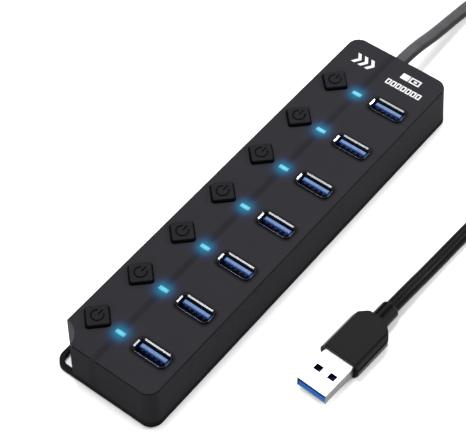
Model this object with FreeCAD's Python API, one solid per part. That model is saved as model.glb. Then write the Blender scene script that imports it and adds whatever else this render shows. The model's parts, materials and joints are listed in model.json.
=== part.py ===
import FreeCAD, Part
import math
import os

from FreeCAD import Placement, Rotation, Vector

# A seven-port USB 3 hub: a long plastic box with seven upright USB-A sockets along one side, a push
# button with a power symbol for each socket along the other side, a status light between the two,
# and a short captive cable that ends in a USB-A plug.
#
# Frame, in millimetres: the origin is under the middle of the hub, on the surface that it stands on.
# +X runs along the hub to the end where the cable leaves, +Y to the side with the buttons, +Z up.

# ---------------------------------------------------------------------------------------------
# Driving dimensions
# ---------------------------------------------------------------------------------------------

# Case
TOP_LENGTH = 168.8
TOP_WIDTH = 41.2
TOP_Z = 18.0
DRAFT = 0.9            # how far each side wall leans out between the top and the ground
CORNER_R = 4.6         # upright corners
TOP_EDGE_R = 0.45
WALL = 1.5
TOP_PLATE = 1.8
FOOT_HEIGHT = 0.4      # the base plate's underside stands this high on its rubber feet
BASE_THICK = 2.2
BASE_EDGE_R = 0.2
PARTING_BEVEL = 0.25   # small bevel on both sides of the joint between cover and base
LIP_THICK = 1.2
LIP_HEIGHT = 1.5
LIP_GAP = 0.15

# Scooped corner with the lanyard loop, at the -X +Y corner
SCOOP_X = 7.0          # where the scoop starts on the two sides, from the sharp corner
SCOOP_Y = 7.3
SCOOP_SAG = 0.8
SCOOP_BEVEL_SAG = 2.0
LOOP_WIDTH = 1.6

# Rows of ports, lights and buttons
COUNT = 7
PITCH = 21.9
ROW_X = -5.0           # the middle port's place along the hub
PORT_Y = -9.9
LIGHT_Y = 3.4
BUTTON_Y = 13.2
GROOVE_Y = 3.6
GROOVE_WIDTH = 3.4
GROOVE_DEPTH = 0.3

# USB-A socket, standing upright: 12.5 x 5.12 opening
PORT_LONG = 12.5
PORT_SHORT = 5.12
SHELL_WALL = 0.3
SHELL_R = 1.2
FLARE_LOW = 0.05       # height above the cover where the shell's four sides start to flare outward
FLARE = 0.45           # how far they flare, at 45 degrees, to lead a plug in
FLARE_THICK = 0.16
PORT_GAP = 0.2
TONGUE_WIDE = 11.1
TONGUE_THICK = 1.84
TONGUE_X = 0.94        # the tongue sits nearer the +X wall
TONGUE_DEPTH = 0.6     # its end lies this far below the top of the case
TONGUE_BEVEL = 0.35
SOCKET_BLOCK = 3.0
FRONT_CONTACTS_Y = (-3.5, -1.0, 1.0, 3.5)
REAR_CONTACTS_Y = (-4.0, -2.0, 0.0, 2.0, 4.0)
BUMP_Y = (-3.1, 3.1)
BUMP_DEPTH = 6.0       # the shell's spring bumps sit this far below the top of the case

# Push buttons, square caps turned by 45 degrees
CAP_SIDE = 8.2
CAP_R = 1.1
CAP_RISE = 1.3
CAP_GAP = 0.2
CAP_WALL = 1.1
CAP_BEVEL = 0.5
FLANGE_SIDE = 9.8
FLANGE_THICK = 1.0
FLANGE_CLEAR = 0.1
PRESS_TRAVEL = 1.2
SYMBOL_R = 2.15
SYMBOL_LINE = 0.62
SYMBOL_DEPTH = 0.3
SYMBOL_GAP_ANGLE = 35.0

# Status light windows
LENS_LONG = 3.7
LENS_SHORT = 1.6
LENS_GAP = 0.05

# Circuit board
BOARD_LOW = 3.4
BOARD_THICK = 1.2
BOARD_X = (-75.5, 70.5)
BOARD_HALF_Y = 18.0
BOARD_CUT = 3.5

# Switches under the caps
SWITCH_SIDE = 7.0
SWITCH_HEIGHT = 5.0
SWITCH_LID = 0.5
SWITCH_FLOOR = 0.8
WELL_R = 2.4
PLUNGER_R = 1.5
PLUNGER_FLANGE_R = 2.2
PLUNGER_FLANGE_THICK = 1.0
PLUNGER_PLAY = 0.1     # between its flange and the switch's lid
PLUNGER_DROP = 4.6     # its end lies this far below the cap's top, inside the cap's stem
SPRING_R = 1.6
SPRING_WIRE_R = 0.15
SPRING_TURNS = 2.5
STEM_R = 2.4

# Screws and feet
SCREW_SPOTS = ((-79.2, -13.0), (-79.2, 5.0), (78.0, -13.5), (78.0, 13.5))
SHANK_R = 1.05
HEAD_R = 2.2
HEAD_DEPTH = 1.6       # the heads sit in sinks this deep in the base plate's underside
BOSS_R = 2.7
BOSS_RISE = 1.0        # where the cover's bosses meet the base plate's, above the parting line
FOOT_R = 4.2
FOOT_SINK = 0.5
FOOT_SPOTS_X = (-69.0, 69.0)
FOOT_SPOTS_Y = (-15.2, 15.2)

# Cable and its gland
CABLE_D = 5.0
GLAND_Y = 3.0
GLAND_Z = 11.4
GLAND_R = 2.8
GLAND_INNER_X = 81.0
GLAND_END_X = 88.1

# USB-A plug: 12.0 x 4.5 shell
PLUG_TIP = Vector(-43.4, -53.4, 4.0)
PLUG_YAW = -2.5        # degrees, from +X towards -Y
PLUG_WIDE = 12.0
PLUG_HIGH = 4.5
PLUG_WALL = 0.3
PLUG_R = 0.5
PLUG_EXPOSED = 14.6
PLUG_BURIED = 2.0
GRIP_WIDE = 15.8
GRIP_HIGH = 8.0
GRIP_LENGTH = 20.6
GRIP_WAIST = 1.4       # half the height of its upright side faces
GRIP_REAR_CUT = 4.4
GRIP_SHOULDER_R = 2.5
PANEL_RISE = 0.3
PANEL_REAR_R = 4.6
NECK_R = 3.4
NECK_LENGTH = 7.3

# The cable's route, from the gland to the plug's neck: it droops to the ground, turns back in one
# wide loop beyond the hub's end and runs beside the hub to the plug.
PLUG_END_U = PLUG_EXPOSED + GRIP_LENGTH + NECK_LENGTH
LYING_Z = CABLE_D / 2 + 0.05

# ---------------------------------------------------------------------------------------------
# Values worked out from the driving dimensions
# ---------------------------------------------------------------------------------------------

BASE_LOW = FOOT_HEIGHT
BASE_TOP = BASE_LOW + BASE_THICK
PLATE_LOW = TOP_Z - TOP_PLATE
BOARD_TOP = BOARD_LOW + BOARD_THICK
FLARE_START = TOP_Z + FLARE_LOW
SHELL_TOP = FLARE_START + FLARE
CAP_TOP = TOP_Z + CAP_RISE
FLANGE_TOP = PLATE_LOW - FLANGE_CLEAR
UNIT_X = [ROW_X + (i - (COUNT - 1) / 2) * PITCH for i in range(COUNT)]
SLOPE = DRAFT / TOP_Z


# ---------------------------------------------------------------------------------------------
# Shape helpers
# ---------------------------------------------------------------------------------------------

def box(low, high):
    size = [b - a for a, b in zip(low, high)]
    return Part.makeBox(size[0], size[1], size[2], Vector(*low))


def cylinder(radius, low, high, x=0.0, y=0.0):
    return Part.makeCylinder(radius, high - low, Vector(x, y, low))


def joined(shapes):
    body = shapes[0].fuse(shapes[1:]) if len(shapes) > 1 else shapes[0]
    return body.removeSplitter()


def rounded_bar(long_x, long_y, radius, low, high):
    """An upright bar with a rounded rectangle for its section, centred on the Z axis."""
    bar = box((-long_x / 2, -long_y / 2, low), (long_x / 2, long_y / 2, high))
    upright = [e for e in bar.Edges if abs(e.tangentAt(e.FirstParameter).z) > 0.99]
    return bar.makeFillet(radius, upright)


def case_block(inset, low, high, radius):
    """The case's outline moved in by inset, between two heights, with its drafted side walls."""
    rectangles = []
    for z in (low, high):
        half_x = TOP_LENGTH / 2 + SLOPE * (TOP_Z - z) - inset
        half_y = TOP_WIDTH / 2 + SLOPE * (TOP_Z - z) - inset
        rectangles.append((half_x, half_y))
    (ax, ay), (bx, by) = rectangles
    # makeWedge grows along +Y, so the block is made lying down and turned upright.
    wedge = Part.makeWedge(-ax, low, -ay, -by, -bx, ax, high, ay, by, bx)
    wedge.rotate(Vector(0, 0, 0), Vector(1, 0, 0), 90)
    leaning = [e for e in wedge.Edges if abs(e.tangentAt(e.FirstParameter).z) > 0.9]
    return wedge.makeFillet(radius, leaning)


def edges_at(shape, height):
    return [e for e in shape.Edges
            if abs(e.BoundBox.ZMin - height) < 1e-4 and abs(e.BoundBox.ZMax - height) < 1e-4]


def arc_through(start, end, sag):
    """Radius and centre of the arc from start to end that bulges by sag towards the case's middle."""
    chord = end - start
    half = chord.Length / 2
    radius = (half * half + sag * sag) / (2 * sag)
    outward = Vector(chord.y, -chord.x, 0).normalize()
    if outward.dot(start) < 0:
        outward = outward * -1
    middle = (start + end) * 0.5
    return radius, middle + outward * (radius - sag)


def tube(points, radius):
    """A tube along straight runs joined by arcs that are tangent to them, and the arcs' radii.

    Each arc takes 0.45 of the shorter run on either side of its point."""
    edges = []
    radii = []
    last = points[0]
    for before, corner, after in zip(points, points[1:], points[2:]):
        back = (before - corner).normalize()
        ahead = (after - corner).normalize()
        cut = 0.45 * min((before - corner).Length, (after - corner).Length)
        half_turn = (math.pi - back.getAngle(ahead)) / 2
        arc_radius = cut / math.tan(half_turn)
        start = corner + back * cut
        end = corner + ahead * cut
        towards = (back + ahead).normalize()
        centre = corner + towards * (arc_radius / math.cos(half_turn))
        middle = centre - towards * arc_radius
        edges.append(Part.LineSegment(last, start).toShape())
        edges.append(Part.Arc(start, middle, end).toShape())
        radii.append(arc_radius)
        last = end
    edges.append(Part.LineSegment(last, points[-1]).toShape())
    path = Part.Wire(edges)
    ring = Part.Wire(Part.makeCircle(radius, points[0], points[1] - points[0]))
    solid = path.makePipeShell([ring], True, False)
    return solid, path.Length, radii


def turned(profile, axis_point, axis):
    """A solid of revolution from a closed outline of points."""
    face = Part.Face(Part.makePolygon(profile + [profile[0]]))
    return face.revolve(axis_point, axis, 360)


def at_unit(shape, index, y):
    copy = shape.copy()
    copy.translate(Vector(UNIT_X[index], y, 0))
    return copy


def for_all_units(shape, y):
    return [at_unit(shape, i, y) for i in range(COUNT)]


def export(name, shape):
    if isinstance(shape, list):
        shape = Part.makeCompound(shape)
    if not shape.isValid():
        raise RuntimeError(name + " is not a valid shape")
    shape.exportStep("parts/" + name + ".step")
    print(name, len(shape.Solids), "solids", round(shape.Volume, 1), "mm3")


# ---------------------------------------------------------------------------------------------
# Case
# ---------------------------------------------------------------------------------------------

SCOOP_START = Vector(-TOP_LENGTH / 2 + SCOOP_X, TOP_WIDTH / 2, 0)
SCOOP_END = Vector(-TOP_LENGTH / 2, TOP_WIDTH / 2 - SCOOP_Y, 0)
SCOOP_R, SCOOP_CENTRE = arc_through(SCOOP_START, SCOOP_END, SCOOP_SAG)
BEVEL_R, BEVEL_CENTRE = arc_through(SCOOP_START, SCOOP_END, SCOOP_BEVEL_SAG)


def scoop(grow, low, high):
    return cylinder(SCOOP_R + grow, low, high, SCOOP_CENTRE.x, SCOOP_CENTRE.y)


def turned_square(side, radius, low, high):
    bar = rounded_bar(side, side, radius, low, high)
    bar.rotate(Vector(0, 0, 0), Vector(0, 0, 1), 45)
    return bar


def port_window():
    """The cover's opening round one socket."""
    long_x = PORT_SHORT + 2 * (SHELL_WALL + PORT_GAP)
    long_y = PORT_LONG + 2 * (SHELL_WALL + PORT_GAP)
    return rounded_bar(long_x, long_y, SHELL_R + PORT_GAP, PLATE_LOW - 1, TOP_Z + 1)


def groove():
    """The soft shallow channel that joins the status lights: a hollow between two rounded lips."""
    quarter = GROOVE_WIDTH / 4
    turn = 2 * math.atan(GROOVE_DEPTH / 2 / quarter)
    radius = quarter / math.sin(turn)
    lift = 0.004           # lets the lips cross the cover's top at a clear angle
    half = TOP_LENGTH

    def at(across, drop):
        return Vector(-half, GROOVE_Y + across, TOP_Z + lift - drop)

    edges = []
    for side in (-1, 1):
        middle = at(side * (2 * quarter - radius * math.sin(turn / 2)), radius * (1 - math.cos(turn / 2)))
        lip = Part.Arc(at(side * 2 * quarter, 0), middle, at(side * quarter, GROOVE_DEPTH / 2))
        edges.append(lip.toShape())
    hollow = Part.Arc(at(-quarter, GROOVE_DEPTH / 2), at(0, GROOVE_DEPTH), at(quarter, GROOVE_DEPTH / 2))
    roof = Part.LineSegment(at(-2 * quarter, 0), at(2 * quarter, 0))
    outline = Part.Wire(Part.__sortEdges__(edges + [hollow.toShape(), roof.toShape()]))
    return Part.Face(outline).extrude(Vector(2 * half, 0, 0))


def cover_cavity():
    cavity = case_block(WALL, BASE_TOP - 1, PLATE_LOW, CORNER_R - WALL)
    return cavity.cut(scoop(WALL, 0, TOP_Z))


def make_top_cover():
    cover = case_block(0, BASE_TOP, TOP_Z, CORNER_R)
    cover = cover.makeFillet(TOP_EDGE_R, edges_at(cover, TOP_Z))
    cover = cover.makeChamfer(PARTING_BEVEL, edges_at(cover, BASE_TOP))
    cover = cover.cut(scoop(0, 0, TOP_Z + 1))
    bevel_height = SCOOP_BEVEL_SAG - SCOOP_SAG
    bevel = Part.makeCone(BEVEL_R - bevel_height, BEVEL_R, bevel_height,
                          BEVEL_CENTRE + Vector(0, 0, TOP_Z - bevel_height))
    cover = cover.cut(bevel)
    cavity = cover_cavity()
    cover = cover.cut(cavity)

    # Screw bosses hang from the top plate down to the base plate's own bosses.
    bosses = [cylinder(BOSS_R, BASE_TOP + BOSS_RISE, PLATE_LOW, x, y) for x, y in SCREW_SPOTS]
    bores = [cylinder(SHANK_R, 0, PLATE_LOW - 2, x, y) for x, y in SCREW_SPOTS]
    cover = cover.fuse(bosses).cut(bores)

    # Two ribs across the roof press the circuit board down on the base plate's posts.
    for i in (1, 4):
        x = UNIT_X[i] + PITCH / 2
        rib = box((x - 0.6, -BOARD_HALF_Y + 1, BOARD_TOP), (x + 0.6, BOARD_HALF_Y - 1, PLATE_LOW + 0.1))
        for y_low, y_high in ((-14.5, -5.5), (-0.5, 7.5), (9.0, 15.5)):
            rib = rib.cut(box((x - 1, y_low, 0), (x + 1, y_high, PLATE_LOW - 1.5)))
        cover = cover.fuse(rib)

    openings = for_all_units(port_window(), PORT_Y)
    cap_hole = turned_square(CAP_SIDE + 2 * CAP_GAP, CAP_R + CAP_GAP, PLATE_LOW - 0.5, TOP_Z + 1)
    openings += for_all_units(cap_hole, BUTTON_Y)
    light_hole = box((-LENS_SHORT / 2 - LENS_GAP, -LENS_LONG / 2 - LENS_GAP, PLATE_LOW - 0.5),
                     (LENS_SHORT / 2 + LENS_GAP, LENS_LONG / 2 + LENS_GAP, TOP_Z + 1))
    openings += for_all_units(light_hole, LIGHT_Y)
    gland_hole = Part.makeCylinder(GLAND_R, 10, Vector(TOP_LENGTH / 2 - 5, GLAND_Y, GLAND_Z), Vector(1, 0, 0))
    return cover.cut(openings + [gland_hole]).cut(groove()).removeSplitter()


def make_bottom_cover():
    base = case_block(0, BASE_LOW, BASE_TOP, CORNER_R)
    base = base.makeChamfer(PARTING_BEVEL, edges_at(base, BASE_TOP))
    base = base.makeFillet(BASE_EDGE_R, edges_at(base, BASE_LOW))

    # The lanyard hole: what the scoop takes away, less a thin loop along the outline.
    hole = case_block(LOOP_WIDTH, BASE_LOW - 1, BASE_TOP + 1, CORNER_R - LOOP_WIDTH)
    hole = hole.common(scoop(0, 0, TOP_Z))
    base = base.cut(hole)

    # A lip inside the cover's wall keeps the two halves in line.
    lip = case_block(WALL + LIP_GAP, BASE_TOP - 0.2, BASE_TOP + LIP_HEIGHT, CORNER_R - WALL - LIP_GAP)
    lip = lip.cut(scoop(WALL + LIP_GAP, 0, TOP_Z))
    inner = WALL + LIP_GAP + LIP_THICK
    hollow = case_block(inner, BASE_TOP - 1, BASE_TOP + LIP_HEIGHT + 1, 1.5)
    lip = lip.cut(hollow.cut(scoop(inner, 0, TOP_Z)))

    posts = [cylinder(1.6, BASE_TOP - 0.2, BOARD_LOW, x + PITCH / 2, y)
             for x in (UNIT_X[0], UNIT_X[2], UNIT_X[4]) for y in (-15.5, 1.5, 15.8)]
    bosses = [cylinder(BOSS_R, BASE_TOP - 0.2, BASE_TOP + BOSS_RISE, x, y) for x, y in SCREW_SPOTS]
    base = base.fuse([lip] + posts + bosses)

    sinks = [cylinder(1.45, 0, BASE_TOP + 2, x, y) for x, y in SCREW_SPOTS]
    sinks += [cylinder(HEAD_R + 0.3, 0, BASE_LOW + HEAD_DEPTH, x, y) for x, y in SCREW_SPOTS]
    sinks += [cylinder(FOOT_R + 0.1, 0, BASE_LOW + FOOT_SINK, x, y)
              for x in FOOT_SPOTS_X for y in FOOT_SPOTS_Y]
    return base.cut(sinks).removeSplitter()


def make_rubber_feet():
    feet = []
    for x in FOOT_SPOTS_X:
        for y in FOOT_SPOTS_Y:
            foot = cylinder(FOOT_R, 0, BASE_LOW + FOOT_SINK, x, y)
            feet.append(foot.makeFillet(0.3, edges_at(foot, 0)))
    return feet


def make_case_screws():
    """Four small self-tapping screws with cross-recessed heads, driven in from below."""
    screws = []
    for x, y in SCREW_SPOTS:
        head_low = BASE_LOW + 0.25
        head = cylinder(HEAD_R, head_low, BASE_LOW + HEAD_DEPTH, x, y)
        shank = cylinder(SHANK_R, BASE_LOW + HEAD_DEPTH - 0.1, BASE_TOP + 7.5, x, y)
        screw = head.fuse(shank)
        for sx, sy in ((1.3, 0.25), (0.25, 1.3)):
            screw = screw.cut(box((x - sx, y - sy, head_low - 1), (x + sx, y + sy, head_low + 0.7)))
        screws.append(screw.removeSplitter())
    return screws


# ---------------------------------------------------------------------------------------------
# Sockets
# ---------------------------------------------------------------------------------------------

def shell_flare(half_gap, length):
    """One flared side of a socket's mouth, on the +X side, along Y."""
    root = FLARE_START - 0.2
    outline = [Vector(half_gap, 0, FLARE_START),
               Vector(half_gap + FLARE, 0, SHELL_TOP),
               Vector(half_gap + FLARE + FLARE_THICK, 0, SHELL_TOP - FLARE_THICK),
               Vector(half_gap + SHELL_WALL, 0, FLARE_START + SHELL_WALL - 2 * FLARE_THICK),
               Vector(half_gap + SHELL_WALL, 0, root),
               Vector(half_gap, 0, root)]
    face = Part.Face(Part.makePolygon(outline + [outline[0]]))
    face.translate(Vector(0, -length / 2, 0))
    return face.extrude(Vector(0, length, 0))


def make_port_shell():
    """The folded steel shell of one socket, with flared sides, four spring bumps and four board legs."""
    long_x = PORT_SHORT + 2 * SHELL_WALL
    long_y = PORT_LONG + 2 * SHELL_WALL
    shell = rounded_bar(long_x, long_y, SHELL_R, BOARD_TOP + 0.1, SHELL_TOP)
    shell = shell.cut(rounded_bar(PORT_SHORT, PORT_LONG, SHELL_R - SHELL_WALL, BOARD_TOP, SHELL_TOP + 1))
    corner = SHELL_R - SHELL_WALL + 0.1
    straight_x = PORT_SHORT - 2 * corner
    straight_y = PORT_LONG - 2 * corner
    shell = shell.cut([box((-long_x, -straight_y / 2, FLARE_START), (long_x, straight_y / 2, SHELL_TOP + 1)),
                       box((-straight_x / 2, -long_y, FLARE_START), (straight_x / 2, long_y, SHELL_TOP + 1))])
    flares = []
    for turn in range(4):
        if turn % 2 == 0:
            flare = shell_flare(PORT_SHORT / 2, straight_y)
        else:
            flare = shell_flare(PORT_LONG / 2, straight_x)
        flare.rotate(Vector(0, 0, 0), Vector(0, 0, 1), 90 * turn)
        flares.append(flare)
    bumps = []
    for side in (-1, 1):
        wall = side * PORT_SHORT / 2
        for y in BUMP_Y:
            bump_z = TOP_Z - BUMP_DEPTH
            outline = [Vector(wall + side * 0.1, y - 0.8, bump_z - 1.6),
                       Vector(wall - side * 0.28, y - 0.8, bump_z),
                       Vector(wall + side * 0.1, y - 0.8, bump_z + 1.6)]
            face = Part.Face(Part.makePolygon(outline + [outline[0]]))
            bumps.append(face.extrude(Vector(0, 1.6, 0)))
    legs = []
    for side in (-1, 1):
        for x in (-1.6, 0.6):
            y_in = side * PORT_LONG / 2
            y_out = side * long_y / 2
            legs.append(box((x, min(y_in, y_out), BOARD_LOW - 0.5),
                            (x + 1.0, max(y_in, y_out), BOARD_TOP + 0.5)))
    return joined([shell] + flares + bumps + legs)


def contact_strips():
    """The nine spring contacts of one socket: four long ones on the tongue's face, five behind them."""
    face_x = TONGUE_X - TONGUE_THICK / 2
    tongue_end = TOP_Z - TONGUE_DEPTH
    strips = []
    for y in FRONT_CONTACTS_Y:
        strips.append(box((face_x - 0.1, y - 0.5, BOARD_LOW - 0.4),
                          (face_x + 0.2, y + 0.5, tongue_end - 2.2)))
    for y in REAR_CONTACTS_Y:
        rear = box((TONGUE_X, y - 0.3, BOARD_LOW - 0.4), (TONGUE_X + 0.3, y + 0.3, tongue_end - 0.8))
        head = box((face_x - 0.3, y - 0.4, tongue_end - 1.7), (TONGUE_X + 0.3, y + 0.4, tongue_end - 0.8))
        nose = [e for e in edges_at(head, tongue_end - 0.8) if abs(e.BoundBox.XMax - face_x + 0.3) < 1e-4]
        head = head.makeChamfer(0.28, nose)
        strips.append(rear.fuse(head).removeSplitter())
    return strips


def make_port_tongue():
    """The blue moulding of one socket: a block at the foot of the shell and the contact tongue."""
    tongue_end = TOP_Z - TONGUE_DEPTH
    block = rounded_bar(PORT_SHORT, PORT_LONG, SHELL_R - SHELL_WALL, BOARD_TOP, BOARD_TOP + SOCKET_BLOCK)
    low = (TONGUE_X - TONGUE_THICK / 2, -TONGUE_WIDE / 2, BOARD_TOP + SOCKET_BLOCK - 0.5)
    high = (TONGUE_X + TONGUE_THICK / 2, TONGUE_WIDE / 2, tongue_end)
    tongue = box(low, high)
    tongue = tongue.makeChamfer(TONGUE_BEVEL, edges_at(tongue, tongue_end))
    return joined([block, tongue]).cut(contact_strips())


# ---------------------------------------------------------------------------------------------
# Buttons, switches and lights
# ---------------------------------------------------------------------------------------------

def power_symbol():
    """The engraved power sign: an open ring and a bar that points along +X."""
    low = CAP_TOP - SYMBOL_DEPTH
    high = CAP_TOP + 1
    ring = cylinder(SYMBOL_R + SYMBOL_LINE / 2, low, high)
    ring = ring.cut(cylinder(SYMBOL_R - SYMBOL_LINE / 2, low, high))
    reach = 2 * SYMBOL_R
    spread = reach * math.tan(math.radians(SYMBOL_GAP_ANGLE))
    gap = Part.Face(Part.makePolygon([Vector(0, 0, low), Vector(reach, -spread, low),
                                      Vector(reach, spread, low), Vector(0, 0, low)]))
    ring = ring.cut(gap.extrude(Vector(0, 0, 3)))
    bar = box((0.35, -SYMBOL_LINE / 2, low), (SYMBOL_R + 0.55, SYMBOL_LINE / 2, high))
    return [ring, bar]


def make_button_cap():
    cap = turned_square(CAP_SIDE, CAP_R, FLANGE_TOP - 0.2, CAP_TOP)
    cap = cap.makeChamfer(CAP_BEVEL, edges_at(cap, CAP_TOP))
    flange = turned_square(FLANGE_SIDE, CAP_R, FLANGE_TOP - FLANGE_THICK, FLANGE_TOP)
    room = TOP_WIDTH / 2 - WALL - 0.25 - BUTTON_Y
    flange = flange.cut(box((-10, room, 0), (10, 20, TOP_Z)))
    hollow = turned_square(CAP_SIDE - 2 * CAP_WALL, 0.5, 0, CAP_TOP - 1.4)
    stem = cylinder(STEM_R, BOARD_TOP + SWITCH_HEIGHT + PRESS_TRAVEL + 0.4, CAP_TOP - 1.2)
    socket = cylinder(PLUNGER_R, 0, CAP_TOP - PLUNGER_DROP)
    cap = cap.fuse(flange).cut(hollow).fuse(stem).cut(socket)
    return cap.cut(power_symbol()).removeSplitter()


def make_switch_housing():
    low = BOARD_TOP
    high = BOARD_TOP + SWITCH_HEIGHT
    housing = rounded_bar(SWITCH_SIDE, SWITCH_SIDE, 0.4, low, high)
    well = cylinder(WELL_R, low + SWITCH_FLOOR, high - SWITCH_LID)
    neck = cylinder(PLUNGER_R + 0.15, high - SWITCH_LID - 0.1, high + 1)
    pins = [box((x - 0.3, y - 0.15, BOARD_LOW - 0.4), (x + 0.3, y + 0.15, low + 0.1))
            for x in (-2.5, 0.0, 2.5) for y in (-2.6, 2.6)]
    return housing.fuse(pins).cut([well, neck]).removeSplitter()


def make_switch_plunger():
    lid_low = BOARD_TOP + SWITCH_HEIGHT - SWITCH_LID
    flange_top = lid_low - PLUNGER_PLAY
    flange = cylinder(PLUNGER_FLANGE_R, flange_top - PLUNGER_FLANGE_THICK, flange_top)
    rod = cylinder(PLUNGER_R, flange_top - PLUNGER_FLANGE_THICK / 2, CAP_TOP - PLUNGER_DROP)
    return flange.fuse(rod).removeSplitter()


def make_switch_spring():
    """A small compression spring between the housing's floor and the plunger's flange."""
    flange_low = BOARD_TOP + SWITCH_HEIGHT - SWITCH_LID - PLUNGER_PLAY - PLUNGER_FLANGE_THICK
    clear = SPRING_WIRE_R + 0.02
    low = BOARD_TOP + SWITCH_FLOOR + clear
    high = flange_low - clear
    helix = Part.makeHelix((high - low) / SPRING_TURNS, high - low, SPRING_R)
    helix.translate(Vector(0, 0, low))
    edge = helix.Edges[0]
    ring = Part.Wire(Part.makeCircle(SPRING_WIRE_R, edge.valueAt(edge.FirstParameter),
                                     edge.tangentAt(edge.FirstParameter)))
    return Part.Wire(helix.Edges).makePipeShell([ring], True, True)


def make_led_lens():
    """A clear light pipe from one status light up to its window in the groove."""
    pipe = box((-LENS_SHORT / 2, -LENS_LONG / 2, BOARD_TOP + 1.0), (LENS_SHORT / 2, LENS_LONG / 2, TOP_Z))
    pipe = pipe.makeChamfer(0.08, edges_at(pipe, TOP_Z))
    flange = box((-1.6, -LENS_LONG / 2 - 0.8, PLATE_LOW - 1.0), (1.6, LENS_LONG / 2 + 0.8, PLATE_LOW))
    return pipe.fuse(flange).removeSplitter()


def make_status_leds():
    return for_all_units(rounded_bar(1.5, 2.6, 0.2, BOARD_TOP, BOARD_TOP + 0.8), LIGHT_Y)


# ---------------------------------------------------------------------------------------------
# Circuit board
# ---------------------------------------------------------------------------------------------

def make_circuit_board(contacts, housings, shells):
    x_low, x_high = BOARD_X
    corner = [Vector(x_low, -BOARD_HALF_Y, BOARD_LOW),
              Vector(x_high, -BOARD_HALF_Y, BOARD_LOW),
              Vector(x_high, BOARD_HALF_Y, BOARD_LOW),
              Vector(x_low + BOARD_CUT, BOARD_HALF_Y, BOARD_LOW),
              Vector(x_low, BOARD_HALF_Y - BOARD_CUT, BOARD_LOW)]
    outline = Part.Face(Part.makePolygon(corner + [corner[0]]))
    board = outline.extrude(Vector(0, 0, BOARD_THICK))
    return board.cut(contacts + housings + shells)


def make_hub_controllers():
    """Two flat square chips, each between two sockets."""
    chips = []
    for i in (2, 5):
        x = UNIT_X[i] + PITCH / 2
        chip = box((x - 4, PORT_Y - 4, BOARD_TOP), (x + 4, PORT_Y + 4, BOARD_TOP + 0.9))
        chip = chip.makeChamfer(0.15, edges_at(chip, BOARD_TOP + 0.9))
        chips.append(chip.cut(cylinder(0.4, BOARD_TOP + 0.8, BOARD_TOP + 1, x - 3, PORT_Y + 3)))
    return chips


def make_board_components():
    """Capacitors, fuses, resistors and the crystal, as small blocks and cans on the board."""
    pieces = []
    for i in range(COUNT - 1):
        x = UNIT_X[i] + PITCH / 2
        if i not in (1, 4):
            pieces.append(cylinder(2.0, BOARD_TOP, BOARD_TOP + 5.2, x, 13.5))
            pieces.append(box((x - 2.3, 3.4 - 1.6, BOARD_TOP), (x + 2.3, 3.4 + 1.6, BOARD_TOP + 1.1)))
        pieces.append(box((x - 5.8, 7.0, BOARD_TOP), (x - 3.8, 8.2, BOARD_TOP + 0.6)))
        pieces.append(box((x - 5.8, 9.0, BOARD_TOP), (x - 3.8, 10.2, BOARD_TOP + 0.6)))
        pieces.append(box((x + 3.6, 8.0, BOARD_TOP), (x + 5.6, 9.2, BOARD_TOP + 0.6)))
    crystal = rounded_bar(4.6, 3.2, 0.8, BOARD_TOP, BOARD_TOP + 1.2)
    crystal.translate(Vector(UNIT_X[3] + PITCH / 2, -9.9, 0))
    return pieces + [crystal]


def make_cable_wires():
    """The cable's conductors, from the gland's inner end down to the solder pads on the board."""
    wires = []
    for across in range(-2, 3):
        start = Vector(GLAND_INNER_X, GLAND_Y + 1.5 * across, GLAND_Z)
        bend = Vector(67.5, start.y, GLAND_Z)
        end = Vector(67.5, start.y, BOARD_TOP)
        solid, _, _ = tube([start, bend, end], 0.42)
        wires.append(solid)
    return wires


# ---------------------------------------------------------------------------------------------
# Cable, gland and plug
# ---------------------------------------------------------------------------------------------

def make_strain_relief():
    """A rubber gland: a flange inside the case, a neck through the wall and a short tapered sleeve."""
    wall_out = TOP_LENGTH / 2 + SLOPE * (TOP_Z - GLAND_Z)
    flange_out = GLAND_INNER_X + 1.6
    outline = [Vector(GLAND_INNER_X, 0, 0), Vector(GLAND_INNER_X, 4.4, 0), Vector(flange_out, 4.4, 0),
               Vector(flange_out, GLAND_R, 0), Vector(wall_out + 0.3, GLAND_R, 0),
               Vector(GLAND_END_X, CABLE_D / 2 + 0.15, 0), Vector(GLAND_END_X, 0, 0)]
    gland = turned(outline, Vector(0, 0, 0), Vector(1, 0, 0))
    gland.translate(Vector(0, GLAND_Y, GLAND_Z))
    return gland


def plug_placement():
    return Placement(PLUG_TIP, Rotation(Vector(0, 0, 1), PLUG_YAW))


def placed(shape):
    """Moves a piece of the plug from its own frame, tip at the origin and cable along +X."""
    copy = shape.copy()
    copy.Placement = plug_placement().multiply(copy.Placement)
    return copy


def lying_bar(wide, high, radius, start, end):
    """A bar along X with a rounded rectangle, wide in Y and high in Z, for its section."""
    bar = box((start, -wide / 2, -high / 2), (end, wide / 2, high / 2))
    along = [e for e in bar.Edges if abs(e.tangentAt(e.FirstParameter).x) > 0.99]
    return bar.makeFillet(radius, along)


def make_plug_shell():
    end = PLUG_EXPOSED + PLUG_BURIED
    shell = lying_bar(PLUG_WIDE, PLUG_HIGH, PLUG_R, 0, end)
    inside_wide = PLUG_WIDE - 2 * PLUG_WALL
    inside_high = PLUG_HIGH - 2 * PLUG_WALL
    shell = shell.cut(lying_bar(inside_wide, inside_high, PLUG_R - 0.25, -1, end + 1))
    for y in (-2.85, 2.85):
        shell = shell.cut(box((5.9, y - 1.4, -5), (8.4, y + 1.4, 5)))
        shell = shell.cut(cylinder(0.3, PLUG_HIGH / 2 - 0.15, 5, PLUG_EXPOSED - 2.6, y * 0.45))
    return placed(shell)


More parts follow.
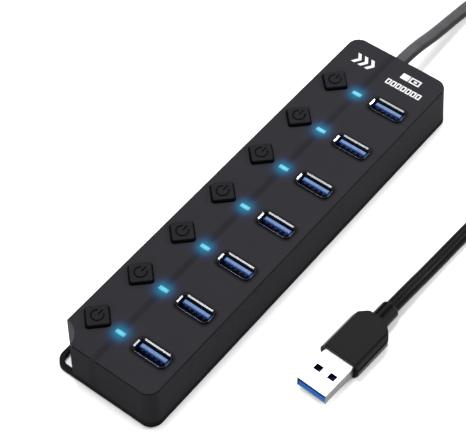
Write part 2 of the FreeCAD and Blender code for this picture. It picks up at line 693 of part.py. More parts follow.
def plug_insert_solid():
    wide = PLUG_WIDE - 2 * PLUG_WALL
    low = -PLUG_HIGH / 2 + PLUG_WALL
    end = PLUG_EXPOSED + PLUG_BURIED
    block = lying_bar(wide - 0.1, 2 * abs(low), 0.3, 0.4, end)
    block = block.cut(box((-1, -wide, -0.1), (end + 1, wide, wide)))
    slots = [box((1.6, y - 0.55, -0.35), (9.0, y + 0.55, 1)) for y in FRONT_CONTACTS_Y]
    return block.cut(slots)


def make_plug_contacts():
    strips = [box((1.7, y - 0.5, -0.35), (8.9, y + 0.5, -0.15)) for y in FRONT_CONTACTS_Y]
    strips += [box((10.0, y - 0.4, -0.1), (13.4, y + 0.4, 0.1)) for y in REAR_CONTACTS_Y]
    return [placed(s) for s in strips]


def make_plug_overmold():
    """The moulded grip: eight-sided in section, with a raised panel on two faces and a round neck."""
    start = PLUG_EXPOSED
    end = start + GRIP_LENGTH
    half_w = GRIP_WIDE / 2
    half_h = GRIP_HIGH / 2
    body_h = half_h - PANEL_RISE
    flat = PLUG_WIDE / 2 + 0.3
    section = [Vector(start, flat, body_h), Vector(start, half_w, GRIP_WAIST),
               Vector(start, half_w, -GRIP_WAIST), Vector(start, flat, -body_h),
               Vector(start, -flat, -body_h), Vector(start, -half_w, -GRIP_WAIST),
               Vector(start, -half_w, GRIP_WAIST), Vector(start, -flat, body_h)]
    grip = Part.Face(Part.makePolygon(section + [section[0]])).extrude(Vector(GRIP_LENGTH, 0, 0))
    plan = box((start, -half_w, -half_h), (end, half_w, half_h))
    rear = [e for e in plan.Edges if abs(e.tangentAt(e.FirstParameter).z) > 0.99
            and abs(e.BoundBox.XMax - end) < 1e-4]
    plan = plan.makeChamfer(GRIP_REAR_CUT, rear)
    shoulders = [e for e in plan.Edges if abs(e.tangentAt(e.FirstParameter).z) > 0.99
                 and e.BoundBox.XMax > end - GRIP_REAR_CUT - 1e-4]
    grip = grip.common(plan.makeFillet(GRIP_SHOULDER_R, shoulders))

    panel = box((start, -flat, -half_h), (end - 1.0, flat, half_h))
    rear = [e for e in panel.Edges if abs(e.tangentAt(e.FirstParameter).z) > 0.99
            and abs(e.BoundBox.XMax - end + 1.0) < 1e-4]
    panel = panel.makeFillet(PANEL_REAR_R, rear)
    panel = panel.makeFillet(0.2, edges_at(panel, half_h) + edges_at(panel, -half_h))

    neck = Part.makeCylinder(NECK_R, NECK_LENGTH + 2, Vector(end - 2, 0, 0), Vector(1, 0, 0))
    neck_end = [e for e in neck.Edges if abs(e.BoundBox.XMin - end - NECK_LENGTH) < 1e-4]
    neck = neck.makeFillet(0.7, neck_end)
    grooves = []
    for side in (-1, 1):
        for z in (-GRIP_WAIST, GRIP_WAIST):
            y = side * half_w
            grooves.append(box((start - 1, min(y - side * 0.35, y + side), z - 0.3),
                               (end - GRIP_REAR_CUT, max(y - side * 0.35, y + side), z + 0.3)))
    grip = grip.cut(grooves).fuse([panel, neck])
    pocket = lying_bar(PLUG_WIDE, PLUG_HIGH, PLUG_R, start - 1, start + PLUG_BURIED)
    return placed(grip.cut(pocket).removeSplitter())


def cable_route():
    neck = plug_placement().multVec(Vector(PLUG_END_U, 0, 0))
    before_neck = plug_placement().multVec(Vector(PLUG_END_U + 9.0, 0, 0))
    return [Vector(GLAND_END_X, GLAND_Y, GLAND_Z),
            Vector(96.0, 3.0, 11.4),
            Vector(112.0, 3.05, 7.0),
            Vector(130.0, 3.1, 4.1),
            Vector(147.0, 1.6, LYING_Z + 0.25),
            Vector(164.5, -4.9, LYING_Z),
            Vector(176.2, -19.9, LYING_Z),
            Vector(177.8, -38.8, LYING_Z),
            Vector(168.9, -55.6, LYING_Z),
            Vector(152.3, -64.8, LYING_Z),
            Vector(130.5, -65.6, LYING_Z),
            Vector(105.0, -63.4, LYING_Z),
            Vector(82.0, -60.2, LYING_Z),
            Vector(60.5, -58.0, LYING_Z),
            Vector(40.0, -56.8, LYING_Z),
            Vector(21.5, -56.0, LYING_Z),
            before_neck,
            neck]


def make_usb_cable():
    solid, length, radii = tube(cable_route(), CABLE_D / 2)
    expected = math.pi * CABLE_D ** 2 / 4 * length
    print("cable length", round(length, 1), "mm, volume over section times length",
          round(solid.Volume / expected, 4))
    print("cable arc radii", [round(r, 1) for r in radii], "mm, against 5 diameters", 5 * CABLE_D)
    return solid


# ---------------------------------------------------------------------------------------------
# The whole hub
# ---------------------------------------------------------------------------------------------

def main():
    os.makedirs("parts", exist_ok=True)

    export("top_cover", make_top_cover())
    export("bottom_cover", make_bottom_cover())
    export("rubber_feet", make_rubber_feet())
    export("case_screws", make_case_screws())

    shells = for_all_units(make_port_shell(), PORT_Y)
    tongues = for_all_units(make_port_tongue(), PORT_Y)
    contacts = [at_unit(strip, i, PORT_Y) for i in range(COUNT) for strip in contact_strips()]
    housings = for_all_units(make_switch_housing(), BUTTON_Y)
    export("port_contacts", contacts)
    export("switch_housings", housings)
    export("circuit_board", make_circuit_board(contacts, housings, shells))

    caps = for_all_units(make_button_cap(), BUTTON_Y)
    plungers = for_all_units(make_switch_plunger(), BUTTON_Y)
    springs = for_all_units(make_switch_spring(), BUTTON_Y)
    lenses = for_all_units(make_led_lens(), LIGHT_Y)
    for i in range(COUNT):
        number = "_" + str(i + 1)
        export("port_shell" + number, shells[i])
        export("port_tongue" + number, tongues[i])
        export("button_cap" + number, caps[i])
        export("switch_plunger" + number, plungers[i])
        export("switch_spring" + number, springs[i])
        export("led_lens" + number, lenses[i])

    export("status_leds", make_status_leds())
    export("hub_controllers", make_hub_controllers())
    export("board_components", make_board_components())
    export("cable_wires", make_cable_wires())

    export("strain_relief", make_strain_relief())
    export("usb_cable", make_usb_cable())
    export("plug_shell", make_plug_shell())
    export("plug_insert", placed(plug_insert_solid()))
    export("plug_contacts", make_plug_contacts())
    export("plug_overmold", make_plug_overmold())


main()
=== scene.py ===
import json
import math

import bpy
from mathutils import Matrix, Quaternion, Vector


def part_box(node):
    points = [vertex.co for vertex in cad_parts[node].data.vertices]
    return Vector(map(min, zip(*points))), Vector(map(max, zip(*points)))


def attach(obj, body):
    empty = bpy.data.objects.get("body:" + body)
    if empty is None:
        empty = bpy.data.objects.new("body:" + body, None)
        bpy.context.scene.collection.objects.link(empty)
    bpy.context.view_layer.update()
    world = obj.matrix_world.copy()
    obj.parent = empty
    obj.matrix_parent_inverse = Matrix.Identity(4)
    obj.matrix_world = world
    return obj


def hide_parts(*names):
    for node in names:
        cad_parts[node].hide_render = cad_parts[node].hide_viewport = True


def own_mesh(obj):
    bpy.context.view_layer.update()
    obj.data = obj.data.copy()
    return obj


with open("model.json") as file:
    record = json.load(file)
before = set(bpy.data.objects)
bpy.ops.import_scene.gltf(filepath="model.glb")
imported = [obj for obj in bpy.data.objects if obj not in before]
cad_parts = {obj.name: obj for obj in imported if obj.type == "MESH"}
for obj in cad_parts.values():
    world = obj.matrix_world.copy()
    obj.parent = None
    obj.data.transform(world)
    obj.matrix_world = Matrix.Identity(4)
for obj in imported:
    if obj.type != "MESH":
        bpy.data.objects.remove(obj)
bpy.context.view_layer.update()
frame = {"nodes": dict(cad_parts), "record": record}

# A seven-port USB hub on a pale floor. Metres, in the frame of the CAD model: +X runs along the hub to
# the end where the cable leaves, +Y to the side with the buttons, +Z up.

# ---------------------------------------------------------------------------------------------
# Camera
# ---------------------------------------------------------------------------------------------

CAMERA_PLACE = Vector((-0.29155, -0.22067, 0.47304))
CAMERA_AIM = Vector((-0.00052, 0.01239, 0.0))
CAMERA_ROLL = math.radians(-0.86)
CAMERA_LENS = 131.78
CAMERA_SENSOR = 36.0


def make_camera():
    data = bpy.data.cameras.new("camera")
    data.lens = CAMERA_LENS
    data.sensor_width = CAMERA_SENSOR
    data.clip_start = 0.01
    camera = bpy.data.objects.new("camera", data)
    camera.location = CAMERA_PLACE
    camera.rotation_mode = "QUATERNION"
    level = (CAMERA_AIM - CAMERA_PLACE).to_track_quat("-Z", "Y")
    camera.rotation_quaternion = level @ Quaternion((0, 0, 1), CAMERA_ROLL)
    bpy.context.scene.collection.objects.link(camera)
    bpy.context.scene.camera = camera


make_camera()

# ---------------------------------------------------------------------------------------------
# Cable: straight out of the gland, down to the floor, back in one wide loop beyond the hub's end
# and beside the hub to the plug
# ---------------------------------------------------------------------------------------------

CABLE_DIAMETER = 0.0050
CABLE_STEPS = 10            # along each run between two route points
CABLE_SIDES = 8             # more corners round half of its section
CABLE_ROUTE = (
    (0.0881, 0.0030, 0.0114),
    (0.0960, 0.0030, 0.0114),
    (0.1120, 0.00305, 0.0070),
    (0.1300, 0.0031, 0.0041),
    (0.1470, 0.0016, 0.0028),
    (0.1645, -0.0049, 0.00255),
    (0.1762, -0.0199, 0.00255),
    (0.1778, -0.0388, 0.00255),
    (0.1689, -0.0556, 0.00255),
    (0.1523, -0.0648, 0.00255),
    (0.1305, -0.0656, 0.00255),
    (0.1050, -0.0634, 0.00255),
    (0.0820, -0.0602, 0.00255),
    (0.0605, -0.0580, 0.00255),
    (0.0400, -0.0568, 0.00255),
    (0.0215, -0.0560, 0.00255),
    (0.00805, -0.05565, 0.0040),
    (-0.00094, -0.05525, 0.0040),
)


def make_cable():
    data = bpy.data.curves.new("cable", "CURVE")
    data.dimensions = "3D"
    data.resolution_u = CABLE_STEPS
    data.bevel_depth = 1.0      # times each point's own radius
    data.bevel_resolution = CABLE_SIDES
    data.use_fill_caps = True
    line = data.splines.new("NURBS")
    line.points.add(len(CABLE_ROUTE) - 1)
    for point, place in zip(line.points, CABLE_ROUTE):
        point.co = (*place, 1.0)
        point.radius = CABLE_DIAMETER / 2
    line.order_u = 3
    line.use_endpoint_u = True
    cable = bpy.data.objects.new("cable", data)
    bpy.context.scene.collection.objects.link(cable)
    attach(cable, "hub")
    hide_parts("usb_cable")
    return cable


cable = make_cable()

# ---------------------------------------------------------------------------------------------
# Switch springs: each stands on its switch's floor
# ---------------------------------------------------------------------------------------------

UNITS = range(1, 8)         # a button, a light and a socket each, counted from the end without the cable


def make_spring(number):
    node = "switch_spring_%d" % number
    spring = bpy.data.objects.new("spring_%d" % number, frame["nodes"][node].data.copy())
    bpy.context.scene.collection.objects.link(spring)
    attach(spring, "hub")
    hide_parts(node)
    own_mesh(spring)
    return spring


springs = [make_spring(number) for number in UNITS]

# ---------------------------------------------------------------------------------------------
# Floor and lights
# ---------------------------------------------------------------------------------------------

FLOOR_SIZE = 6.0
WORLD_BRIGHTNESS = 0.42
SOFTBOXES = (               # name, place, aim, width, height, watts
    ("key_softbox", (0.02, 0.20, 0.98), (0, 0, 0), 0.3, 0.3, 9.0),
    ("front_softbox", (0.56, -0.42, 0.42), (0.09, 0, 0), 0.4, 0.3, 5.5),
    ("back_softbox", (0.70, 0.36, 0.70), (0.08, 0, 0), 0.5, 0.5, 5.5),
    ("left_softbox", (-0.80, -0.08, 0.34), (-0.08, 0, 0), 0.4, 0.3, 3.5),
)


def make_floor():
    half = FLOOR_SIZE / 2
    corners = [(-half, -half, 0), (half, -half, 0), (half, half, 0), (-half, half, 0)]
    mesh = bpy.data.meshes.new("floor")
    mesh.from_pydata(corners, [], [(0, 1, 2, 3)])
    floor = bpy.data.objects.new("floor", mesh)
    bpy.context.scene.collection.objects.link(floor)
    return floor


def make_softbox(name, place, aim, width, height, watts):
    data = bpy.data.lights.new(name, "AREA")
    data.shape = "RECTANGLE"
    data.size = width
    data.size_y = height
    data.energy = watts
    light = bpy.data.objects.new(name, data)
    light.location = place
    light.rotation_mode = "QUATERNION"
    light.rotation_quaternion = (Vector(aim) - Vector(place)).to_track_quat("-Z", "Y")
    bpy.context.scene.collection.objects.link(light)


def make_world(brightness):
    world = bpy.data.worlds.new("studio")
    world.use_nodes = True
    background = world.node_tree.nodes["Background"]
    background.inputs["Color"].default_value = (1.0, 1.0, 1.0, 1.0)
    background.inputs["Strength"].default_value = brightness
    bpy.context.scene.world = world


floor = make_floor()
make_world(WORLD_BRIGHTNESS)
for softbox in SOFTBOXES:
    make_softbox(*softbox)
bpy.context.scene.view_settings.view_transform = "Standard"

# ---------------------------------------------------------------------------------------------
# Materials
# ---------------------------------------------------------------------------------------------

class Finish:
    """A procedural material. Lengths are metres in the piece's own frame."""

    def __init__(self, name, colour, roughness, **sockets):
        self.material = bpy.data.materials.new(name)
        self.material.use_nodes = True
        self.tree = self.material.node_tree
        self.shader = self.tree.nodes["Principled BSDF"]
        self.set("Base Color", (*colour, 1.0))
        self.set("Roughness", roughness)
        for socket, value in sockets.items():
            self.set(socket.replace("_", " ").title().replace("Ior", "IOR"), value)
        self.coordinates = self.node("ShaderNodeTexCoord")
        self.place = self.coordinates.outputs["Object"]

    def set(self, socket, value):
        self.shader.inputs[socket].default_value = value

    def drive(self, socket, output):
        self.tree.links.new(output, self.shader.inputs[socket])

    def node(self, kind, **settings):
        made = self.tree.nodes.new(kind)
        for name, value in settings.items():
            setattr(made, name, value)
        return made

    def feed(self, socket, value):
        if isinstance(value, bpy.types.NodeSocket):
            self.tree.links.new(value, socket)
        else:
            socket.default_value = value

    def math(self, operation, *values):
        made = self.node("ShaderNodeMath", operation=operation)
        for socket, value in zip(made.inputs, values):
            self.feed(socket, value)
        return made.outputs[0]

    def product(self, first, *others):
        for other in others:
            first = self.math("MULTIPLY", first, other)
        return first

    def gap(self, value, target):
        """How far apart two values are."""
        return self.math("ABSOLUTE", self.math("SUBTRACT", value, target))

    def sum_of_squares(self, first, second):
        return self.math("ADD", self.product(first, first), self.product(second, second))

    def part_of(self, vector, letter):
        made = self.node("ShaderNodeSeparateXYZ")
        self.feed(made.inputs[0], vector)
        return made.outputs[letter]

    def axis(self, letter):
        """Where the point lies along one of the piece's own axes, in metres."""
        return self.part_of(self.place, letter)

    def facing(self, letter):
        """How far the surface faces along one of the piece's own axes, from -1 to 1."""
        return self.part_of(self.coordinates.outputs["Normal"], letter)

    def noise(self, size, detail=2.0, stretch=(1.0, 1.0, 1.0)):
        """Noise with features of about that size, longer along an axis whose stretch is above 1."""
        scaled = self.node("ShaderNodeMapping")
        self.feed(scaled.inputs["Vector"], self.place)
        scaled.inputs["Scale"].default_value = [1.0 / s for s in stretch]
        made = self.node("ShaderNodeTexNoise")
        self.feed(made.inputs["Vector"], scaled.outputs[0])
        made.inputs["Scale"].default_value = 1.0 / size
        made.inputs["Detail"].default_value = detail
        return made.outputs["Fac"]

    def spread(self, value, low, high, start=0.3, end=0.7):
        """Maps a value from start..end to low..high."""
        made = self.node("ShaderNodeMapRange")
        for socket, number in zip(made.inputs, (value, start, end, low, high)):
            self.feed(socket, number)
        return made.outputs[0]

    def tint(self, factor, first, second, blend="MIX"):
        """The first colour, or output, at factor 0, and the second at factor 1."""
        made = self.node("ShaderNodeMix", data_type="RGBA", blend_type=blend)
        self.feed(made.inputs[0], factor)
        for socket, colour in ((made.inputs[6], first), (made.inputs[7], second)):
            self.feed(socket, colour if isinstance(colour, bpy.types.NodeSocket) else (*colour, 1.0))
        return made.outputs[2]

    def base_colour(self):
        return self.shader.inputs["Base Color"].links[0].from_socket

    def relief(self, height, depth):
        made = self.node("ShaderNodeBump")
        made.inputs["Distance"].default_value = depth
        self.feed(made.inputs["Height"], height)
        self.drive("Normal", made.outputs[0])


def shaded(colour, share):
    return tuple(channel * share for channel in colour)


def middle_of(node):
    low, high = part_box(node)
    return (low + high) / 2


LIGHTS = [middle_of("led_lens_%d" % number) for number in UNITS]
MIDDLE_LIGHT = LIGHTS[len(LIGHTS) // 2]
PITCH = LIGHTS[1].x - LIGHTS[0].x
ROW_END = LIGHTS[-1].x + PITCH / 2      # beyond it, the cover has only the printed marks
COVER_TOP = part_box("top_cover")[1].z
CAP_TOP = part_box("button_cap_1")[1].z
SIGN_DEPTH = 0.00012
CHANNEL_Y = 0.0037                      # the channel that joins the lights
SCOOP_X = -0.0765                       # the scooped corner lies beyond these two
SCOOP_Y = 0.0125
SOCKET_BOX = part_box("port_shell_1")
SOCKET_MIDDLE = middle_of("port_shell_1")
SOCKET_R = 0.0016
FACET_LEVEL = 0.0024                    # the grip's slanted sides, from its middle plane
PANEL_LEVEL = 0.0034

COVER_BLACK = (0.0148, 0.0143, 0.0172)
CABLE_BLACK = (0.0035, 0.0035, 0.004)   # at the plug's end
CABLE_LIT_GREY = (0.050, 0.049, 0.052)      # at the hub's end, paler by painted light
GRIP_BLACK = (0.0015, 0.0015, 0.0018)
# painted highlight along the grip's slanted sides
GRIP_HIGHLIGHT = (0.013, 0.013, 0.014)
GRIP_PANEL = (0.0075, 0.0075, 0.008)
BRIGHT_STEEL = (0.92, 0.93, 0.96)
# painted shade for the sockets' steel: on the cut rim, and bluish further inside
RIM_STEEL_SHADE = (0.014, 0.014, 0.016)
INNER_STEEL_SHADE = (0.050, 0.062, 0.105)
TONGUE_BLUE = (0.028, 0.092, 0.21)
# painted shade for the tongues, down inside the sockets
TONGUE_SHADE_NAVY = (0.010, 0.038, 0.20)
PLUG_BLUE = (0.004, 0.085, 0.32)
PLUG_NAVY = (0.003, 0.010, 0.07)
BOARD_GREEN = (0.010, 0.095, 0.035)
BOARD_TRACK = (0.012, 0.110, 0.040)
BOARD_GAP = (0.030, 0.20, 0.07)
GLOW_GREEN = (0.206, 0.0027)            # strength, reach
GLOW_BLUE = (0.357, 0.0030)
LENS_RIM = (0.01, 0.23, 0.42)
LENS_MIDDLE = (0.10, 0.52, 0.56)
LENS_CORE = 0.0008                      # how far the middle's colour reaches
SHINE = 0.03                            # specular level of the matt plastics
WHITE_SLOT = next(part["material_slot"] for part in frame["record"]["subparts"]
                  if part["node"] == "switch_plunger_1")


def from_unit(finish, middle):
    """How far a point lies from the nearest unit's own middle, along X and along Y."""
    from_first = finish.math("SUBTRACT", finish.axis("X"), middle.x)
    across = finish.math("SUBTRACT", finish.axis("Y"), middle.y)
    return finish.math("WRAP", from_first, PITCH / 2, -PITCH / 2), across


def light_glow(finish):
    """The blue light that spills from each window over the cover's top, as an emission colour."""
    squared = finish.sum_of_squares(*from_unit(finish, MIDDLE_LIGHT))
    on_top = finish.math("GREATER_THAN", finish.axis("Z"), COVER_TOP - 0.001)
    shown = finish.product(on_top, finish.math("LESS_THAN", finish.axis("X"), ROW_END))
    joined = finish.node("ShaderNodeCombineColor")
    for channel, (strength, reach) in (("Green", GLOW_GREEN), ("Blue", GLOW_BLUE)):
        falloff = finish.math("EXPONENT", finish.product(squared, -1.0 / reach ** 2))
        finish.feed(joined.inputs[channel], finish.product(falloff, strength, shown))
    return joined.outputs[0]


def moulded(name, colour, roughness=0.5, grain=0.00035, depth=0.00001, **sockets):
    """Injection-moulded plastic with a fine spark-eroded surface."""
    finish = Finish(name, colour, roughness, **sockets)
    fine = finish.noise(grain, detail=3.0)
    broad = finish.noise(grain * 5, detail=2.0)
    cloud = finish.noise(0.012, detail=3.0)
    finish.relief(finish.math("ADD", fine, finish.product(broad, 0.5)), depth)
    finish.drive("Base Color", finish.tint(cloud, shaded(colour, 0.92), shaded(colour, 1.08)))
    finish.drive("Roughness", finish.spread(broad, roughness - 0.03, roughness + 0.05))
    return finish


def darken(finish, share):
    """Multiplies the base colour by an output."""
    grey = finish.node("ShaderNodeCombineColor")
    for channel in grey.inputs:
        finish.feed(channel, share)
    finish.drive("Base Color", finish.tint(1.0, finish.base_colour(), grey.outputs[0], "MULTIPLY"))


def socket_surround(finish):
    """Distance outward from the rounded outline of the nearest socket, as an output."""
    low, high = SOCKET_BOX
    half_sizes = ((high.x - low.x) / 2 - SOCKET_R, (high.y - low.y) / 2 - SOCKET_R)
    beyond = [finish.math("MAXIMUM", finish.math("SUBTRACT", finish.math("ABSOLUTE", offset), half), 0.0)
              for offset, half in zip(from_unit(finish, SOCKET_MIDDLE), half_sizes)]
    return finish.math("SUBTRACT", finish.math("SQRT", finish.sum_of_squares(*beyond)), SOCKET_R)


def make_case_cover():
    """Matt black plastic with painted shade: darker on its steep sides, in the rounded edge round the top,
    in the lights' channel and round the sockets; and paler on the scooped corner's bevel, a painted
    highlight."""
    finish = moulded("case_cover", COVER_BLACK, 0.6, specular_ior_level=SHINE)
    up = finish.facing("Z")
    slope = finish.product(finish.math("GREATER_THAN", up, 0.2), finish.math("LESS_THAN", up, 0.93))
    on_scoop = finish.product(finish.math("LESS_THAN", finish.axis("X"), SCOOP_X),
                              finish.math("GREATER_THAN", finish.axis("Y"), SCOOP_Y))
    # painted dark reflection: the rounded fillets round the top are darkened, except on the scooped corner
    edge = finish.product(slope, finish.math("SUBTRACT", 1.0, on_scoop))
    # painted shade in the hollow of the lights' channel
    channel = finish.spread(finish.gap(finish.axis("Y"), CHANNEL_Y), 0.70, 1.0, 0.0001, 0.0018)
    # painted shadow round each socket, left out beyond the row of lights
    surround = finish.spread(socket_surround(finish), 0.42, 1.0, 0.0003, 0.0013)
    past_row = finish.math("SUBTRACT", 1.0, finish.math("LESS_THAN", finish.axis("X"), ROW_END))
    # painted shade: the steeper a face, the darker
    painted_wall_shade = finish.spread(up, 0.62, 1.0, 0.3, 0.9)
    # painted highlight: the scooped corner's bevel is made paler
    bevel = finish.spread(finish.product(slope, on_scoop), 1.0, 3.5, 0.0, 1.0)
    darken(finish, finish.product(channel, painted_wall_shade, finish.spread(edge, 1.0, 0.35, 0.0, 1.0),
                                  finish.math("MAXIMUM", surround, past_row), bevel))
    finish.drive("Emission Color", light_glow(finish))
    finish.set("Emission Strength", 1.0)
    return finish


def make_case_base():
    """The base plate: darker than the cover, and made nearly black by painted shade where it meets the
    floor.
    """
    finish = moulded("case_base", COVER_BLACK, 0.6, specular_ior_level=0.02)
    # painted shade, darkest at the floor
    darken(finish, finish.spread(finish.axis("Z"), 0.10, 0.45, 0.0012, 0.0018))
    return finish


def make_button_black():
    """The caps: matt tops, with painted shade making the sides deep black and the engraved signs dark."""
    finish = moulded("button_black", shaded(COVER_BLACK, 0.60), 0.6, grain=0.00025, specular_ior_level=SHINE)
    low = CAP_TOP - SIGN_DEPTH
    top = finish.spread(finish.axis("Z"), 0.0, 1.0, low - 0.00005, low + 0.00005)
    sign = finish.math("GREATER_THAN", finish.facing("Z"), 0.9)
    # painted shade: the sides nearly black and the engraved signs' floors dark
    darken(finish, finish.math("MAXIMUM", top, finish.spread(sign, 0.08, 0.25, 0.0, 1.0)))
    return finish


def plated(name, colour, roughness, stretch, relief=0.000006):
    """Plated sheet metal with fine rolling lines along one axis."""
    finish = Finish(name, colour, roughness, metallic=1.0)
    lines = finish.noise(0.00012, detail=2.0, stretch=stretch)
    cloud = finish.noise(0.0025, detail=3.0)
    finish.drive("Roughness", finish.spread(lines, roughness - 0.06, roughness + 0.10))
    finish.drive("Base Color", finish.tint(cloud, shaded(colour, 0.93), colour))
    finish.relief(lines, relief)
    return finish


def make_port_steel():
    """Bright plating on the lead-ins, which face the opening; rougher on the cut rim and inside, which get
    painted shade in place of the plating's colour, bluish further in.
    """
    finish = plated("port_steel", BRIGHT_STEEL, 0.28, (1.0, 1.0, 20.0))
    along, across = from_unit(finish, SOCKET_MIDDLE)
    outward = finish.math("ADD", finish.product(along, finish.facing("X")),
                          finish.product(across, finish.facing("Y")))
    up = finish.facing("Z")
    mouth = finish.product(finish.math("GREATER_THAN", up, 0.5), finish.math("LESS_THAN", up, 0.9),
                           finish.math("GREATER_THAN", finish.axis("Z"), COVER_TOP),
                           finish.math("LESS_THAN", outward, 0.0))
    # painted shade: dark grey on the cut rim, bluish deeper in the socket
    inside = finish.spread(finish.axis("Z"), 1.0, 0.0, COVER_TOP - 0.0006, COVER_TOP - 0.0003)
    painted_steel_shade = finish.tint(inside, RIM_STEEL_SHADE, INNER_STEEL_SHADE)
    finish.drive("Base Color", finish.tint(mouth, painted_steel_shade, finish.base_colour()))
    finish.drive("Roughness", finish.spread(mouth, 0.62, 0.30, 0.0, 1.0))
    return finish


def make_port_blue():
    """The tongues: light blue at the end, and deep navy down inside, where painted shade darkens them."""
    finish = moulded("port_blue", TONGUE_BLUE, 0.45, grain=0.0002)
    deep = COVER_TOP - 0.0010
    # painted shade: navy below the lit end and on the faces that don't look up
    end = finish.product(finish.spread(finish.axis("Z"), 0.0, 1.0, deep - 0.0002, deep + 0.0003),
                         finish.spread(finish.facing("Z"), 0.12, 1.0, 0.75, 0.95))
    finish.drive("Base Color", finish.tint(end, TONGUE_SHADE_NAVY, TONGUE_BLUE))
    darken(finish, finish.spread(finish.noise(0.0012, detail=2.0), 0.75, 1.15))
    return finish


def make_cable_rubber():
    """Smooth rubber, greyer at the hub's end by painted light and black at the plug's, with painted shade on
    its sides and a slight ripple.
    """
    finish = Finish("cable_rubber", CABLE_BLACK, 0.32, specular_ior_level=0.04)
    ripple = finish.noise(0.004, detail=2.0)
    skin = finish.noise(0.0002, detail=2.0)
    finish.drive("Roughness", finish.spread(ripple, 0.28, 0.42))
    finish.relief(finish.math("ADD", finish.product(ripple, 2.0), skin), 0.00002)
    # painted light: greyer towards the hub's end
    near_hub = finish.spread(finish.axis("Y"), 0.0, 1.0, -0.045, -0.010)
    finish.drive("Base Color", finish.tint(near_hub, CABLE_BLACK, CABLE_LIT_GREY))
    # painted shade: darker on the sides than on top
    painted_side_shade = finish.spread(finish.facing("Z"), 0.15, 1.0, 0.3, 0.85)
    darken(finish, finish.product(painted_side_shade, finish.spread(ripple, 0.85, 1.1)))
    return finish


def make_grip_black():
    """The plug's grip: a matt textured panel on top and underneath, and glossy moulded sides with a paler
    band along each slanted one, a painted highlight."""
    finish = Finish("grip_black", GRIP_BLACK, 0.3, specular_ior_level=0.05)
    steepness = finish.math("ABSOLUTE", finish.facing("Z"))
    level = finish.gap(finish.axis("Z"), middle_of("plug_overmold").z)
    panel = finish.product(finish.spread(steepness, 0.0, 1.0, 0.9, 0.98),
                           finish.math("GREATER_THAN", level, PANEL_LEVEL))
    grain = finish.noise(0.0003, detail=3.0)
    finish.drive("Roughness", finish.spread(panel, 0.30, 0.62, 0.0, 1.0))
    finish.relief(finish.product(grain, finish.spread(panel, 0.15, 1.0, 0.0, 1.0)), 0.00002)
    # painted highlight: a paler band along each slanted side
    band = finish.product(finish.spread(finish.gap(level, FACET_LEVEL), 1.0, 0.0, 0.0003, 0.0011),
                          finish.spread(finish.gap(steepness, 0.6), 1.0, 0.0, 0.1, 0.3))
    finish.drive("Base Color", finish.tint(panel, finish.tint(band, GRIP_BLACK, GRIP_HIGHLIGHT), GRIP_PANEL))
    return finish


def make_contact_gold():
    """The springs in the sockets and the plug; those inside the plug lie in its shadow."""
    finish = plated("contact_gold", (0.11, 0.11, 0.16), 0.45, (1.0, 1.0, 8.0))
    in_plug = finish.math("LESS_THAN", finish.axis("Y"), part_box("bottom_cover")[0].y)
    darken(finish, finish.spread(in_plug, 1.0, 0.08, 0.0, 1.0))
    return finish


def make_plug_steel():
    """The plug's shell: bright on its broad faces; on its narrow sides speckled and darkened by painted
    shade.
    """
    finish = plated("plug_steel", (0.97, 0.97, 0.98), 0.34, (20.0, 1.0, 1.0), relief=0.000001)
    # painted shade on the narrow sides, broken up by a speckled grain
    broad = finish.spread(finish.math("ABSOLUTE", finish.facing("Z")), 0.0, 1.0, 0.4, 0.9)
    speckle = finish.spread(finish.noise(0.0005, detail=3.0), 0.06, 0.26)
    darken(finish, finish.math("MAXIMUM", broad, speckle))
    return finish


def make_plug_blue():
    """The plug's insert: bright blue at the mouth, navy further in where little light falls."""
    finish = moulded("plug_blue", PLUG_BLUE, 0.5, grain=0.0002, specular_ior_level=0.1)
    inward = finish.math("SUBTRACT", finish.axis("X"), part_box("plug_shell")[0].x)
    depth = finish.spread(inward, 0.0, 1.0, 0.0028, 0.0042)
    finish.drive("Base Color", finish.tint(depth, PLUG_BLUE, PLUG_NAVY))
    return finish


def make_light_window():
    """A clear light pipe, lit from below and brightest in the middle."""
    finish = Finish("light_window", (0.04, 0.10, 0.14), 0.25, specular_ior_level=0.1)
    along, across = from_unit(finish, MIDDLE_LIGHT)
    squared = finish.sum_of_squares(along, finish.product(across, 0.45))
    core = finish.math("EXPONENT", finish.product(squared, -1.0 / LENS_CORE ** 2))
    finish.drive("Emission Color", finish.tint(core, LENS_RIM, LENS_MIDDLE))
    finish.set("Emission Strength", 1.0)
    return finish


def make_circuit_green():
    """Green solder mask over rows of copper tracks."""
    finish = moulded("board_green", BOARD_GREEN, 0.28, grain=0.0009)
    tracks = finish.node("ShaderNodeTexBrick", offset=0.5)
    finish.feed(tracks.inputs["Vector"], finish.place)
    tracks.inputs["Scale"].default_value = 240.0
    tracks.inputs["Mortar Size"].default_value = 0.03
    for socket, colour in (("Color1", BOARD_GREEN), ("Color2", BOARD_TRACK), ("Mortar", BOARD_GAP)):
        tracks.inputs[socket].default_value = (*colour, 1.0)
    finish.drive("Base Color", tracks.outputs["Color"])
    return finish


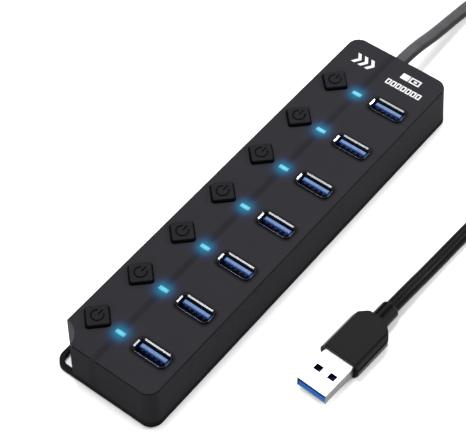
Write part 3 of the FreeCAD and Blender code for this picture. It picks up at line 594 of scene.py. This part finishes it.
FINISHES = {
    "case_cover": make_case_cover(),
    "case_base": make_case_base(),
    "button_black": make_button_black(),
    "rubber_foot": moulded("rubber_foot", (0.012, 0.012, 0.013), 0.8, grain=0.0005, depth=0.00006,
                           specular_ior_level=0.3),
    "screw_steel": plated("screw_steel", (0.55, 0.55, 0.57), 0.32, (1.0, 1.0, 4.0)),
    "board_green": make_circuit_green(),
    "chip_black": moulded("chip_black", (0.018, 0.018, 0.020), 0.6, grain=0.0002),
    "board_parts": moulded("board_parts", (0.30, 0.22, 0.12), 0.45, grain=0.0003),
    "led_package": moulded("led_package", (0.8, 0.8, 0.76), 0.4, grain=0.0003),
    "contact_gold": make_contact_gold(),
    "switch_black": moulded("switch_black", (0.02, 0.02, 0.022), 0.5),
    "wire_jacket": moulded("wire_jacket", (0.50, 0.05, 0.04), 0.4),
    "port_steel": make_port_steel(),
    "port_blue": make_port_blue(),
    WHITE_SLOT: moulded(WHITE_SLOT, (0.8, 0.8, 0.78), 0.4),
    "spring_steel": plated("spring_steel", (0.6, 0.6, 0.62), 0.25, (1.0, 1.0, 1.0)),
    "cable_rubber": make_cable_rubber(),
    "grip_black": make_grip_black(),
    "plug_steel": make_plug_steel(),
    "plug_blue": make_plug_blue(),
    "light_window": make_light_window(),
}
INK = moulded("ink_white", (0.45, 0.45, 0.45), 0.5, grain=0.0002)
FLOOR_PAINT = Finish("floor_white", (0.90, 0.90, 0.90), 0.7, specular_ior_level=0.0)


def paint(piece, finish):
    if not piece.material_slots:
        piece.data.materials.append(finish.material)
    for slot in piece.material_slots:
        slot.material = finish.material


for part in frame["record"]["subparts"]:
    paint(frame["nodes"][part["node"]], FINISHES[part["material_slot"]])
paint(cable, FINISHES["cable_rubber"])
for spring in springs:
    paint(spring, FINISHES["spring_steel"])
paint(floor, FLOOR_PAINT)

# ---------------------------------------------------------------------------------------------
# White printed marks near the cable end: plain pictures in place of lettering. Each is drawn as
# outlines (along, up), read with +X up, so that "along" runs towards -Y.
# ---------------------------------------------------------------------------------------------

INK_THICKNESS = 0.00002
SPEED_MARK = (0.0728, 0.0147)           # (x, y) of each mark's lower start
PLUG_MARK = (0.0766, -0.0043)
PORTS_MARK = (0.0714, -0.0012)


def bar(low, high):
    return [(low[0], low[1]), (high[0], low[1]), (high[0], high[1]), (low[0], high[1])]


def printed_mark(name, corner, outlines):
    """Flat shapes printed on the cover, from their lower start at corner."""
    data = bpy.data.curves.new(name, "CURVE")
    data.dimensions = "2D"
    data.fill_mode = "BOTH"
    data.extrude = INK_THICKNESS / 2
    for outline in outlines:
        line = data.splines.new("POLY")
        line.points.add(len(outline) - 1)
        for point, place in zip(line.points, outline):
            point.co = (*place, 0.0, 1.0)
        line.use_cyclic_u = True
    outline_curve = bpy.data.objects.new(name + "_outline", data)
    mark = bpy.data.objects.new(name, bpy.data.meshes.new_from_object(outline_curve))
    bpy.data.objects.remove(outline_curve)
    mark.location = (corner[0], corner[1], COVER_TOP + INK_THICKNESS / 2)
    mark.rotation_euler.z = -math.pi / 2
    bpy.context.scene.collection.objects.link(mark)
    paint(mark, INK)
    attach(mark, "hub")


def make_speed_mark():
    """Three chevrons."""
    high = 0.0049
    stroke = 0.0014
    tip = 0.0016
    step = 0.0029
    outlines = []
    for i in range(3):
        start = i * step
        outlines.append([(start, 0), (start + stroke, 0), (start + stroke + tip, high / 2),
                         (start + stroke, high), (start, high), (start + tip, high / 2)])
    printed_mark("speed_mark", SPEED_MARK, outlines)


def make_plug_mark():
    """A solid grip and an outlined plug with its tongue."""
    high = 0.0028
    line = 0.00055
    grip_end = 0.0033
    shell_start = 0.0037
    shell_end = 0.0080
    tongue_margin = 0.0010
    outlines = [bar((0, 0), (grip_end, high)), bar((shell_start, 0.0), (shell_end, high)),
                bar((shell_start + line, line), (shell_end - line, high - line)),
                bar((0.0053, tongue_margin), (0.0066, high - tongue_margin))]
    printed_mark("plug_mark", PLUG_MARK, outlines)


def make_ports_mark():
    """One outlined box for each socket."""
    high = 0.0026
    wide = 0.00180
    line = 0.00050
    step = 0.00215
    outlines = []
    for i in range(len(UNITS)):
        start = i * step
        outlines.append(bar((start, 0), (start + wide, high)))
        outlines.append(bar((start + line, line), (start + wide - line, high - line)))
    printed_mark("ports_mark", PORTS_MARK, outlines)


make_speed_mark()
make_plug_mark()
make_ports_mark()
